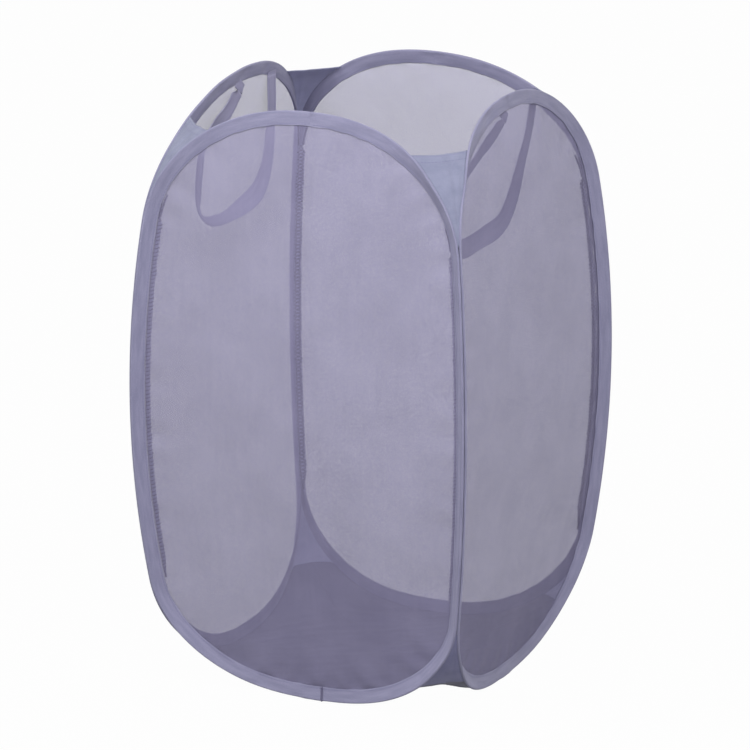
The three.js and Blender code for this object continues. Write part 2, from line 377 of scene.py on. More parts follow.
def fabric(name, dark, light, pitch=(0.0006, 0.0006), streak=(60, 60)):
    """Plain woven cloth: threads, a little unevenness of colour, and a soft sheen."""
    m, tree, shader = material(name)
    patches = tree.noise(tree.place(streak), 1.0)
    fine = tree.noise(tree.place((900, 900)), 1.0, detail=1.0)
    mixed = tree.math("MULTIPLY_ADD", fine, 0.35, tree.math("MULTIPLY", patches, 0.65))
    tree.fill(shader, {
        "Base Color": tree.tint(tree.spread(mixed, 0.3, 0.7, 0.0, 1.0), dark, light),
        "Roughness": 0.75,
        "Sheen Weight": 0.15,
        "Sheen Roughness": 0.4,
        "Specular IOR Level": 0.3,
    })
    tree.bump(shader, tree.weave(*pitch), 0.00012)
    return m


NET_PITCH = (0.00130, 0.00120)
NET_HOLE = 0.243  # radius of a hole, in pitches
NET_SOFT = 0.085  # half the width of its soft edge
NET_UNEVEN = 1.4  # how far the holes stray, in pitches, for a noise of 1
NET_STRAY_SCALE = 400.0
NET_COVER = (0.2, 0.9)  # cover of a hole, where fine cross threads run, and of the threads


def net_material(name, dark, light):
    """Knitted net: staggered round holes between threads, a little uneven, with faint ribs."""
    m, tree, shader = material(name)
    stray = tree.add("TexNoise", {"Vector": tree.place((1, 1)), "Scale": NET_STRAY_SCALE, "Detail": 0.0})
    moved = tree.add("VectorMath", {
        0: stray.outputs["Color"],
        1: (NET_UNEVEN, NET_UNEVEN, 0),
        2: tree.place((1 / NET_PITCH[0], 1 / NET_PITCH[1])),
    }, operation="MULTIPLY_ADD")
    split = tree.add("SeparateXYZ", {0: moved.outputs[0]}).outputs
    reach = []
    for shift in (0.0, 0.5):
        squares = []
        for along in split[:2]:
            centred = tree.math("SUBTRACT", tree.math("FRACT", tree.math("ADD", along, shift)), 0.5)
            squares.append(tree.math("MULTIPLY", centred, centred))
        reach.append(tree.math("SQRT", tree.math("ADD", *squares)))
    nearest = tree.math("MINIMUM", *reach)
    ribs = tree.noise(tree.place((260, 14)), 1.0, detail=2.0)
    patches = tree.noise(tree.place((16, 16)), 1.0)
    both = tree.math("MULTIPLY_ADD", ribs, 0.25, tree.math("MULTIPLY", patches, 0.75))
    tree.fill(shader, {
        "Base Color": tree.tint(tree.spread(both, 0.32, 0.68, 0.0, 1.0), dark, light),
        "Roughness": 0.6,
        "Specular IOR Level": 0.25,
        "Alpha": tree.spread(nearest, NET_HOLE - NET_SOFT, NET_HOLE + NET_SOFT, *NET_COVER),
    })
    tree.bump(shader, nearest, 0.0002, 0.2)
    return m


def thread_material(name, dark, light):
    m, tree, shader = material(name)
    factor = tree.noise(tree.add("TexCoord").outputs["Object"], 900.0, detail=1.0)
    tree.fill(shader, {"Base Color": tree.tint(factor, dark, light), "Roughness": 0.55, "Sheen Weight": 0.1})
    tree.bump(shader, factor, 0.0001)
    return m


def metal_material(name, colour, roughness, scale):
    m, tree, shader = material(name)
    grain = tree.noise(tree.add("TexCoord").outputs["Object"], scale, detail=4.0)
    tree.fill(shader, {
        "Base Color": tree.tint(grain, tuple(0.8 * c for c in colour), colour),
        "Metallic": 1.0,
        "Roughness": tree.spread(grain, 0.3, 0.7, roughness - 0.08, roughness + 0.08),
    })
    tree.bump(shader, grain, 0.00005)
    return m


NET = net_material("net_knit", srgb(133, 129, 160), srgb(145, 141, 172))
# Nets of the back and left panels, seen from inside: a bluer copy of the same net, whose colour paints the
# backlight shining through its threads
NET_FAR_PAINTED_BACKLIGHT = net_material("net_knit_far_painted_backlight", srgb(133, 129, 168), srgb(146, 142, 181))
TAPE = fabric("tape_weave", srgb(131, 130, 158), srgb(149, 147, 175), pitch=(0.0005, 0.0009),
              streak=(30, 220))
CLOTH_OUTSIDE = fabric("cloth_outside", srgb(126, 129, 154), srgb(140, 143, 168))
# Outside of the lower gussets: bluer, like the base cloth, and darker than the upper gussets' cloth, which
# paints the shade in the low corners
CLOTH_LOW_BASE_TONE_AND_SHADE = fabric("cloth_low_base_tone_and_shade", srgb(108, 108, 140), srgb(122, 122, 156))
# Inside faces of the gussets: a lighter copy of the gusset cloth, which paints light onto the shaded inside
# of the corners
CLOTH_INSIDE_PAINTED_LIGHT = fabric("cloth_inside_painted_light", srgb(156, 157, 190), srgb(170, 171, 204))
BASE = fabric("base_cloth_weave", srgb(90, 89, 108), srgb(104, 103, 124), streak=(24, 24))
STRAP = fabric("strap_weave", srgb(146, 143, 172), srgb(162, 159, 188), pitch=(0.0007, 0.0014),
               streak=(300, 30))
THREAD = thread_material("sewing_thread", srgb(104, 101, 138), srgb(128, 125, 164))
# Thread of the corner seams: near black, a real zigzag thread whose colour also paints the shade inside the
# corners
SEAM_THREAD_PAINTED_SHADE = thread_material("seam_thread_painted_shade", srgb(34, 32, 50), srgb(50, 48, 68))
# Thread of the front tape's join: dark, which paints the shadow at the lapped end of the tape
JOIN_THREAD_PAINTED_SHADOW = thread_material("join_thread_painted_shadow", srgb(80, 77, 104), srgb(96, 93, 122))
BINDING = thread_material("seam_binding", srgb(146, 144, 172), srgb(162, 160, 188))
WIRE = metal_material("drawn_wire", (0.62, 0.63, 0.65), 0.3, 900.0)
FERRULE = metal_material("crimped_sleeve", (0.75, 0.76, 0.78), 0.38, 500.0)


# Halves of the panels: nets, tapes, wires and stitches, and the baking of a corner piece's place

def bend(obj):
    """Bakes a corner piece's place into its mesh."""
    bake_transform(obj)


NET_ROWS = 150
NET_COLUMNS = 34
NET_HEM = 0.008
NET_LOWEST = 0.0008  # level below which no point of a net goes
PUCKER_HEIGHT, PUCKER_REACH = 0.0007, 0.008  # of the ripples along the tape
SLACK_HEIGHT, SLACK_START = 0.0012, 0.05  # of the slow waves, and how far from the edge they are full
EDGE_STEPS = 700
# The net is cut at these angles, so that no two layers line up
NET_TURNS = {"front": 0, "right": 24, "back": 36, "left": 24}


def is_late(panel, side):
    return SIDES[panel][0 if side > 0 else 1] == LATE_CORNER


def on_panel(points, panel, side):
    """Points of the front panel's right half, moved to a half of any panel."""
    return quarter_turn(points * [side, 1, 1], PANELS.index(panel))


def net_half(panel, side, seed):
    """Half of a panel's net, from its middle to its edge, with the hem that goes into the tape."""
    shares = np.linspace(0, 0.5, NET_ROWS + 1)
    r = rim(shares, is_late(panel, side))
    root = r["root"]
    t = np.linspace(0, 1, NET_COLUMNS)
    across = 1 - (1 - t) ** 1.5
    points = np.repeat(root[:, None], NET_COLUMNS, axis=1)
    points[..., 0] = root[:, None, 0] * across
    edge = edge_at(np.linspace(0, 0.5, EDGE_STEPS))
    flat = points[..., [0, 2]].reshape(-1, 2)
    gaps = np.linalg.norm(flat[:, None] - edge[:, [0, 2]], axis=-1)
    distance = gaps.min(axis=1).reshape(points.shape[:2])
    nearest = gaps.argmin(axis=1).reshape(points.shape[:2]) / (2 * EDGE_STEPS)
    whole = nearest if side > 0 else 1 - nearest
    pull = distance / PUCKER_REACH * np.exp(1 - distance / PUCKER_REACH)
    pucker = PUCKER_HEIGHT * pull * wander(whole, 24, 60, seed)
    z = points[..., 2]
    x = points[..., 0] * side
    waves = wander(z / 1.2 + 0.3 * x, 1, 5, seed + 1) + wander(x / 1.1 + 0.2 * z, 1, 5, seed + 2)
    slack = SLACK_HEIGHT * smoothstep(distance / SLACK_START) * waves
    points += (pucker + slack)[..., None] * r["face"][:, None]
    hem_across = np.repeat([[NET_HEM / 2, NET_HEM]], len(shares), axis=0)
    hem = on_rim(r, hem_across, sewn_shift(r, hem_across))
    points = np.concatenate([points, hem], axis=1)
    uv = points[..., [0, 2]] * [side, 1]
    turn = math.radians(NET_TURNS[panel])
    c, t = math.cos(turn), math.sin(turn)
    uv = np.stack([c * uv[..., 0] - t * uv[..., 1], t * uv[..., 0] + c * uv[..., 1]], axis=-1)
    keep_above(points, NET_LOWEST)
    faces = grid_faces(NET_ROWS + 1, NET_COLUMNS + 2, flip=side < 0)
    return on_panel(points, panel, side), faces, uv + PANELS.index(panel) * 0.37


TAPE_RINGS = 300
STITCH_LINE = 0.0021  # from the net's edge to the row of stitches
TAPE_SWELL = 0.0002
TAPE_WAVE = 0.0005
MOUTH_WANDER = 0.00025
STITCH_PRESS, STITCH_GROOVE = 0.00018, 0.0007  # depth and reach of the groove along the stitches
# Shares of the tape's width at which its faces have points
OUTER_SHARES = np.array([0.02, 0.08, 0.16, 0.28, 0.42, 0.56, 0.70, 0.82, 0.93])
INNER_SHARES = np.array([0.02, 0.40, 0.80])


def face_lift(share, radius, inside):
    """Distance of a face from the tape's middle plane, at shares of its width."""
    return MOUTH_RADIUS + (radius - MOUTH_RADIUS) * share - inside


def tape_section(radius):
    """The folded tape's section at each ring, for the fold's radius there: across and square to it."""
    radius = radius[:, None]
    across, square = [], []
    # Its outside, and back along its inside
    for shares, steps, sign, inside in ((OUTER_SHARES, 9, 1, 0), (INNER_SHARES, 5, -1, TAPE_THICKNESS)):
        turn = sign * np.linspace(math.pi / 2, -math.pi / 2, steps)
        flat = shares * TAPE_WIDTH + 0 * radius
        lift = sign * face_lift(shares, radius, inside)
        across += [flat, TAPE_WIDTH + (radius - inside) * np.cos(turn), flat[:, ::-1]]
        square += [lift, (radius - inside) * np.sin(turn), -lift[:, ::-1]]
    return np.concatenate(across, axis=1), np.concatenate(square, axis=1)


def fold_radius(shares):
    """The fold's radius along half a rim: tight on the wire, wider over the ferrule at the bottom."""
    away = np.asarray(shares) * RIM_LENGTH / FERRULE_REACH
    return TIGHT_RADIUS + (FERRULE_RADIUS - TIGHT_RADIUS) * (1 - smoothstep(away - 0.4))


def tape_half(panel, side, seed):
    """Half of a panel's tape, folded round the wire and puckered by its stitches."""
    shares = np.linspace(0, 0.5, TAPE_RINGS + 1)
    r = rim(shares, is_late(panel, side))
    whole = shares if side > 0 else 1 - shares
    across, square = tape_section(fold_radius(shares))
    face = np.sign(square)
    share = np.clip(across / TAPE_WIDTH, 0, 1)
    # Puckers: the faces swell and sink along the rim, most between the stitches and the wire
    open_share = (1 - 0.7 * r["sewn"])[:, None]
    swell = TAPE_SWELL * (wander(whole, 60, 110, seed) + wander(whole, 18, 40, seed + 3))[:, None]
    square = square + face * swell * np.sin(np.pi * share) * open_share
    # Both faces wave together, and the mouth's line wanders
    wave = TAPE_WAVE * wander(whole, 14, 34, seed + 9)[:, None] * open_share
    square = square + wave * np.sin(np.pi * share * 0.9)
    across = across + MOUTH_WANDER * np.exp(-across / 0.004) * wander(whole, 30, 80, seed + 5)[:, None]
    # Pressed in along the row of stitches
    square = square - face * STITCH_PRESS * np.exp(-((across - STITCH_LINE) / STITCH_GROOVE) ** 2)
    points = on_rim(r, across, square + sewn_shift(r, across))
    keep_above(points, 0)
    lengths = run_along(np.stack([across[0], square[0]], axis=-1))
    arc = shares * RIM_LENGTH * side
    uv = places(arc[:, None], lengths) + PANELS.index(panel) * 0.31
    faces = grid_faces(len(shares), across.shape[1], closed=True, flip=side > 0)
    return on_panel(points, panel, side), faces, uv


def wire_half(panel, side):
    shares = np.linspace(0, 0.5, 160)
    r = rim(shares, is_late(panel, side))
    turn = np.linspace(0, 2 * math.pi, 8, endpoint=False)
    across = np.repeat([TAPE_WIDTH + WIRE_RADIUS * np.cos(turn)], len(shares), axis=0)
    points = on_rim(r, across, WIRE_RADIUS * np.sin(turn) + sewn_shift(r, across))
    faces = grid_faces(len(shares), len(turn), closed=True, flip=side > 0)
    uv = places((shares * RIM_LENGTH)[:, None], turn * WIRE_RADIUS)
    return on_panel(points, panel, side), faces, uv


def dashes(starts, ends, normals, width, height):
    """Stitches: short raised strokes from start to end, each a low ridge of eight points."""
    along = unit(ends - starts)
    wide = unit(np.cross(normals, along))
    points, faces = [], []
    profile = [(0.0, 0.35, 0.0), (0.18, 1.0, 0.8), (0.5, 1.0, 1.0), (0.82, 1.0, 0.8), (1.0, 0.35, 0.0)]
    for share, w, h in profile:
        middle = starts + (ends - starts) * share
        points.append(middle - wide * width / 2 * w)
        points.append(middle + normals * height * h)
        points.append(middle + wide * width / 2 * w)
    points = np.stack(points, axis=1)
    count, each = points.shape[:2]
    for n in range(count):
        f = n * each
        for k in range(len(profile) - 1):
            a = f + 3 * k
            faces.append((a, a + 3, a + 4, a + 1))
            faces.append((a + 1, a + 4, a + 5, a + 2))
    return points.reshape(-1, 3), faces


STITCH_PITCH = 0.0032
STITCH_LENGTH = 0.0024
STITCH_WIDTH = 0.0005
STITCH_HEIGHT = 0.0003
STITCH_LOWEST = 0.0001
STITCH_SINK = 0.00012
STITCH_STRAY = 0.0002
# Pitch, length, width and height of the other stitches
HEM_STITCH = (STITCH_PITCH, STITCH_LENGTH, STITCH_WIDTH, STITCH_HEIGHT)
STRAP_STITCH = (0.0032, 0.0024, 0.0005, 0.00035)
TAB_STITCH = (0.003, 0.0022, 0.0005, 0.0004)


def stitches_half(panel, side, seed):
    """The row of stitches along both faces of half a tape."""
    count = int(RIM_LENGTH / 2 / STITCH_PITCH)
    starts = (np.arange(count) + 0.15) * STITCH_PITCH / RIM_LENGTH
    ends = starts + STITCH_LENGTH / RIM_LENGTH
    rows = []
    for face in (1, -1):
        a, b = rim(starts, is_late(panel, side)), rim(ends, is_late(panel, side))
        whole = starts if side > 0 else 1 - starts
        line = STITCH_LINE + STITCH_STRAY * wander(whole, 20, 60, seed + face)
        level = face_lift(STITCH_LINE / TAPE_WIDTH, TIGHT_RADIUS, STITCH_SINK)
        p = on_rim(a, line[:, None], face * level + sewn_shift(a, line[:, None]))[:, 0]
        q = on_rim(b, line[:, None], face * level + sewn_shift(b, line[:, None]))[:, 0]
        rows.append(dashes(p, q, a["square"] * face, STITCH_WIDTH, STITCH_HEIGHT))
    points, faces, _ = joined(rows)
    if side < 0:
        faces = [f[::-1] for f in faces]
    keep_above(points, STITCH_LOWEST)
    return on_panel(points, panel, side), faces


# Corner pieces. All are made at the front right corner, where x = -y, and turned

def across_corner(points):
    """Points on the front panel's rim, mirrored onto the right panel's."""
    return np.stack([-points[:, 1], -points[:, 0], points[:, 2]], axis=-1)


def corner_pair(shares, late=False):
    """The middle of the wire on the front panel's right side, and on the right panel's near side."""
    r = rim(np.asarray(shares) / 2, late)
    wire = np.full((len(r["root"]), 1), TAPE_WIDTH)
    front = on_rim(r, wire, sewn_shift(r, wire))[:, 0]
    return front, across_corner(front)


def share_at_gap(gap, upward, late=False):
    """Where the two rims' wires are so far apart, above or below the sewn stretch."""
    shares = np.linspace(0.5, 1 if upward else 0, 4001)
    front, right = corner_pair(shares, late)
    return shares[int(np.argmax(np.linalg.norm(front - right, axis=1) >= gap))]


GUSSET_ROWS = 34
GUSSET_COLUMNS = 21
GUSSET_SEED = 31
HEM_WIDTH = 0.010
HEM_STEP = 0.0012  # over which the hem's edge rises, and its stitches' distance from the edge
HEM_LIFT = 0.00035
HEM_TOP_ROW = 0.0016  # from the top edge to the upper row of stitches
NARROW_END = 0.0008  # gap between the tapes where a gusset starts
INTO_TAPE = 0.0003
BILLOW = 0.05  # share of the gusset's width there
GUSSET_FOLDS = 0.0009
TOP_SAG, BOTTOM_RISE = -0.0012, 0.002  # of the free edges between the rims
BASE_LAP = 0.0025  # how far the base laps over the inside of a bottom gusset
BASE_LIFT = 0.0004  # from the middle of the gusset's cloth to the base's underside
OUTWARD = np.array([1.0, -1.0, 0.0]) / math.sqrt(2)


def gusset(width, upward, seed, late=False):
    """A gusset between two rims, with the rows of stitches of a top one and the line of the base's lap."""
    start = share_at_gap(2 * TIGHT_RADIUS + NARROW_END, upward, late)
    stop = share_at_gap(width + 2 * CLEAR_OF_FOLD, upward, late)
    shares = np.linspace(start, stop, GUSSET_ROWS)
    front, right = corner_pair(shares, late)
    t = np.linspace(0, 1, GUSSET_COLUMNS)
    reach = unit(right - front) * (TIGHT_RADIUS - INTO_TAPE)
    a, b = front + reach, right - reach
    points = a[:, None] * (1 - t)[:, None] + b[:, None] * t[:, None]
    span = np.linalg.norm(b - a, axis=1)[:, None]
    arch = 4 * t * (1 - t)
    run = run_along((a + b) / 2)
    height = run / run[-1]
    # Cloth billows a little and has soft folds that run down to the narrow end
    folds = wander(t * 0.9 + 0.02, 1, 4, seed) * (0.35 + 0.65 * height[:, None])
    billow = BILLOW * span * arch + GUSSET_FOLDS * folds * arch * np.clip(span / 0.03, 0, 1)
    points = points + billow[..., None] * OUTWARD
    droop = (TOP_SAG if upward else BOTTOM_RISE) * arch
    points[..., 2] += droop * smoothstep((height - 0.6) / 0.4)[:, None]
    # The line on the inside along which the base laps over a lower gusset's edge
    lap = row_at(points, run, run[-1] - BASE_LAP)
    down = unit(points[-1] - lap)
    lap = lap + unit([0, 0, 1] - down * down[:, 2:]) * BASE_LIFT + [0, 0, CLOTH_THICKNESS]
    hem = smoothstep((HEM_WIDTH - (run[-1] - run)) / HEM_STEP) if upward else 0 * run
    thick = (CLOTH_THICKNESS / 2 + HEM_LIFT * hem)[:, None, None]
    outside = points + thick * OUTWARD
    inside = points - thick * OUTWARD
    uv = places((t - 0.5) * span, run[:, None]).reshape(-1, 2) + 0.11 * seed
    n = GUSSET_ROWS * GUSSET_COLUMNS
    flip = not upward
    faces = grid_faces(GUSSET_ROWS, GUSSET_COLUMNS, flip=flip)
    kinds = [0] * len(faces)
    back = grid_faces(GUSSET_ROWS, GUSSET_COLUMNS, first=n, flip=not flip)
    faces += back
    kinds += [1] * len(back)
    grid = np.arange(n).reshape(GUSSET_ROWS, GUSSET_COLUMNS)
    border = np.concatenate([grid[0], grid[1:, -1], grid[-1, -2::-1], grid[-2::-1, 0]]).tolist()
    for p, q in zip(border[:-1], border[1:]):
        face = (p, p + n, q + n, q)
        faces.append(face[::-1] if flip else face)
        kinds.append(0)
    points = np.concatenate([outside.reshape(-1, 3), inside.reshape(-1, 3)])
    # Two rows of stitches: along the hem's lower edge and close to its top
    offsets = (HEM_WIDTH - HEM_STEP, HEM_TOP_ROW) if upward else ()
    rows = [row_at(outside, run, run[-1] - offset) for offset in offsets]
    return points, faces, kinds, np.concatenate([uv, uv]), rows, lap


def row_of_stitches(line, normal, pitch, length, width, height):
    """Stitches along an open line of points."""
    run = run_along(line)
    count = max(1, int(run[-1] / pitch))
    starts = (np.arange(count) + 0.15) * run[-1] / count
    ends = starts + length
    normals = unit(points_at(starts, run, normal))
    return dashes(points_at(starts, run, line), points_at(ends, run, line), normals, width, height)


def corner_quarters(corner):
    """Right angles from the front right corner to this one."""
    return list(CORNERS).index(corner)


def tube(line, radius, sides=6):
    """A closed tube along a line of points."""
    along = unit(np.gradient(line, axis=0))
    guess = np.array([0.0, 0.0, 1.0]) + 0 * along
    guess[np.abs(along[:, 2]) > 0.9] = [1.0, 0.0, 0.0]
    first = unit(np.cross(along, guess))
    second = np.cross(along, first)
    turn = np.linspace(0, 2 * math.pi, sides, endpoint=False)
    rings = line[:, None] + radius * (
        np.cos(turn)[:, None] * first[:, None] + np.sin(turn)[:, None] * second[:, None])
    return rings.reshape(-1, 3), tube_faces(len(line), sides)


SEAM_REACH = 0.0036
SEAM_PERIOD = 0.0075
SEAM_DEPTH = 0.0009
SEAM_PAST = (0.004, 0.008)  # how far a seam goes on below and above the sewn stretch
SEAM_STEPS = 12  # for each turn of the threads
BINDING_THICKNESS = 0.0007
THREAD_RADIUS = 0.0009
THREAD_PLAY = 0.0003
THREAD_END = 0.030  # share of half a rim that the ends of the threads go on along it
THREAD_END_RADIUS = 0.0011
THREAD_END_DEPTH = 0.0022
ALONG_CORNER = np.array([1.0, 1.0, 0.0]) / math.sqrt(2)


def into_corner(aside):
    """Distance from the corner at which a band clears both nets, at a distance to one side."""
    return np.sqrt(aside ** 2 + SEAM_DEPTH ** 2) + 0.0004


def seam_piece(seed):
    """The seam of a corner, on its inside: a binding, crossed by two threads that form diamonds."""
    low, high = share_at_level(JOIN_LOW - SEAM_PAST[0]), share_at_level(JOIN_HIGH + SEAM_PAST[1])
    count = SEAM_STEPS * int((high - low) / 2 * RIM_LENGTH / SEAM_PERIOD)
    root = rim(np.linspace(low, high, count + 1) / 2)["root"]
    middle = (root[:, 0] - root[:, 1]) / 2
    centre = np.stack([middle, -middle, root[:, 2]], axis=-1)
    step = np.arange(count + 1)
    wide = SEAM_REACH * (1 + 0.06 * wander(step / count, 20, 60, seed))
    # It narrows towards its ends, over three turns at the bottom and one at the top
    wide = wide * (0.12 + 0.88 * smoothstep(np.minimum(step / 36, (count - step) / 12)))
    # Binding: a thin band that lies on both nets
    aside = np.concatenate([np.linspace(-1, 1, 7), np.linspace(1, -1, 7)])
    depth = np.repeat([BINDING_THICKNESS, 0], 7)
    aside = wide[:, None] * aside
    band = centre[:, None] + aside[..., None] * ALONG_CORNER
    band = band - (into_corner(aside) + depth)[..., None] * OUTWARD
    parts = [(band.reshape(-1, 3), tube_faces(*aside.shape))]
    # Threads
    turns = 2 * math.pi * step / SEAM_STEPS
    wave = np.cos(turns)
    jitter = 0.1 * wander(step / count, 30, 90, seed + 1)
    for sign in (1, -1):
        off = sign * 0.9 * wide * (wave + jitter)
        lift = into_corner(off) + BINDING_THICKNESS + THREAD_PLAY * (1 + sign * np.sin(turns))
        line = centre + off[:, None] * ALONG_CORNER - lift[:, None] * OUTWARD
        parts.append(tube(line, THREAD_RADIUS))
    # The ends of the threads part along both rims
    top = rim(np.linspace(high, high + THREAD_END, 10) / 2)["root"]
    for line in (top, across_corner(top)):
        parts.append(tube(line - THREAD_END_DEPTH * OUTWARD, THREAD_END_RADIUS))
    points, faces, kinds = joined(parts)
    return points, faces, [0 if k == 0 else 1 for k in kinds]


def share_at_level(level):
    """Share of half a rim at which the wire reaches a level."""
    shares = np.linspace(0, 1, 4001)
    front, _ = corner_pair(shares)
    return shares[int(np.argmax(front[:, 2] >= level))]


# The base

BASE_RINGS = 40
BASE_COLUMNS = 75
BASE_THICKNESS = 0.0005
BASE_LOWEST = 0.0012
BASE_SPACING = 0.85  # below 1, rings are closer together towards the edge
BASE_CURVE = 3.2  # how late the base rises towards its edge
BASE_FADE = 0.12  # share next to the edge over which its folds fade


def base_side(late):
    """The edge of the base from the middle of the front rim to the corner on its right."""
    corner_share = share_at_gap(BOTTOM_GUSSET + 2 * CLEAR_OF_FOLD, False, late)
    front, _ = corner_pair(np.linspace(0, corner_share, 30), late)
    level = np.maximum(front[:, 2], TIGHT_RADIUS + 0.0004)
    return np.stack([front[:, 0], front[:, 1] + TIGHT_RADIUS - 0.0002, level], axis=-1)[:-1]


def base_edge():
    """The edge of the base all round: along each rim, then across each corner."""
    edge = []
    for i in range(4):
        before, late = ((n % 4) == corner_quarters(LATE_CORNER) for n in (i - 1, i))
        across = gusset(BOTTOM_GUSSET, False, GUSSET_SEED, late)[-1]
        near = (base_side(before) * [-1, 1, 1])[::-1][:-1]
        edge.append(quarter_turn(np.concatenate([near, base_side(late), across[:-1]]), i))
    return np.concatenate(edge)


def base_quarter(panel):
    """The quarter of the base next to a panel, cut on the diagonals so that it can gather there."""
    edge = base_edge()
    angle = np.arctan2(edge[:, 1], edge[:, 0])
    order = np.argsort(angle)
    edge, angle = edge[order], angle[order]
    wrapped = np.concatenate([angle - 2 * math.pi, angle, angle + 2 * math.pi])
    thrice = np.concatenate([edge, edge, edge])
    begin = math.radians(-135 + 90 * PANELS.index(panel))
    steps = BASE_COLUMNS
    turn = np.linspace(begin, begin + math.pi / 2, steps)
    rim_line = points_at(turn, wrapped, thrice)
    share = np.linspace(0, 1, BASE_RINGS) ** BASE_SPACING
    points = rim_line * share[:, None, None]
    points[..., 2] = BASE_MIDDLE + (rim_line[:, 2] - BASE_MIDDLE) * share[:, None] ** BASE_CURVE
    fade = smoothstep((1 - share) / BASE_FADE)[:, None]
    points[..., 2] += fade * base_relief(points[..., 0], points[..., 1])
    keep_above(points, BASE_LOWEST)
    uv = points[..., :2].reshape(-1, 2) + 0.5
    under = points.copy()
    under[..., 2] -= BASE_THICKNESS
    faces = grid_faces(BASE_RINGS, steps)
    n = BASE_RINGS * steps
    faces += grid_faces(BASE_RINGS, steps, first=n, flip=True)
    for line in (range(n - steps, n), range(0, n, steps), range(n - 1, 0, -steps)):
        faces += [(p, p + n, q + n, q) for p, q in zip(line[:-1], line[1:])]
    points = np.concatenate([points.reshape(-1, 3), under.reshape(-1, 3)])
    return points, faces, np.concatenate([uv, uv])


def crease(x, y, angle, offset, width, height, length, middle):
    """A straight raised crease in the base, at an angle, fading towards its ends."""
    c, s = math.cos(angle), math.sin(angle)
    along = x * c + y * s - middle
    away = -x * s + y * c - offset
    return height * np.exp(-(away / width) ** 2) * np.exp(-(along / length) ** 2)


def base_relief(x, y):
    """Folds and ripples of the loosely stretched base."""
    relief = np.zeros_like(x)
    for angle, offset, width, height, length, middle in (
        (35, 0.05, 0.006, 0.0030, 0.10, -0.03),
        (28, -0.02, 0.008, 0.0024, 0.11, 0.02),
        (42, -0.075, 0.007, 0.0022, 0.08, 0.0),
        (-50, 0.04, 0.007, 0.0018, 0.07, 0.03),
        (0, 0.0, 0.005, 0.0018, 0.16, 0.0),
        (90, 0.0, 0.005, 0.0014, 0.16, 0.0),
    ):
        relief += crease(x, y, math.radians(angle), offset, width, height, length, middle)
    u, v = 0.8 * x + 0.6 * y, -0.6 * x + 0.8 * y
    relief += 0.0008 * np.sin(2 * np.pi * v / 0.031 + 2.0 * np.sin(u / 0.05)) * np.sin(u / 0.06 + 1)
    relief += 0.0005 * np.sin(2 * np.pi * v / 0.017 + 1.3 * np.sin(u / 0.03))
    return relief


# Handles

def between(t, start, end, p, q):
    """The point between p and q at t, with p at the start and q at the end."""
    return (end - t) / (end - start) * p + (t - start) / (end - start) * q


def strap_line(count):
    """The strap's middle line in the plane of its loop, as a centripetal curve through its points."""
    reach = STRAP_BACK - LOOP_FRONT
    p = np.array([(LOOP_FRONT + a * reach, -d * LOOP_DROP) for a, d in STRAP_SHARES])
    p = np.concatenate([[2 * p[0] - p[1]], p, [2 * p[-1] - p[-2]]])
    fine = []
    for i in range(1, len(p) - 2):
        knots = [0.0]
        for k in range(3):
            knots.append(knots[-1] + math.sqrt(max(1e-9, np.linalg.norm(p[i + k] - p[i + k - 1]))))
        t = np.linspace(knots[1], knots[2], 60)[:, None]
        near = [between(t, knots[k], knots[k + 1], p[i + k - 1], p[i + k]) for k in range(3)]
        wide = [between(t, knots[k], knots[k + 2], near[k], near[k + 1]) for k in range(2)]
        c = between(t, knots[1], knots[2], *wide)
        fine.append(c if i == 1 else c[1:])
    line = np.concatenate(fine)
    run = run_along(line)
    at = np.linspace(0, run[-1], count)
    return points_at(at, run, line), run[-1]


STRAP_RINGS = 150
STRAP_BOW = 0.0016  # how far the strap strays sideways
STRAP_CUP = 0.0011  # and how far its edges curl up
STRAP_NARROWING = 0.06  # most that it is narrower in places
# The strap's section, as shares of half its width and half its thickness: a rolled edge on each side
STRAP_SECTION = np.array([
    (-1.0, 0.0), (-0.97, 0.8), (-0.9, 1.1), (-0.8, 1.0), (-0.5, 0.8), (0.0, 0.75), (0.5, 0.8), (0.8, 1.0),
    (0.9, 1.1), (0.97, 0.8), (1.0, 0.0), (0.97, -0.8), (0.9, -1.1), (0.8, -1.0), (0.5, -0.8), (0.0, -0.75),
    (-0.5, -0.8), (-0.8, -1.0), (-0.9, -1.1), (-0.97, -0.8),
])
# Turn of the strap about its own length, in degrees, at shares of its length from its back end.
# It lies flat at the rim and lies level where it turns round at the bottom
STRAP_TURNS = {
    "left": [(0, 0), (0.1, 0), (0.22, 12), (0.34, 50), (0.46, 76), (0.56, 64), (0.64, 12), (0.74, 6),
             (0.8, 14), (0.86, 8), (0.91, 0), (1, 0)],
    "right": [(0, 0), (0.1, 0), (0.22, 18), (0.34, 38), (0.46, 52), (0.56, 40), (0.66, 8), (0.76, 5),
              (0.82, 8), (0.9, 0), (1, 0)],
}


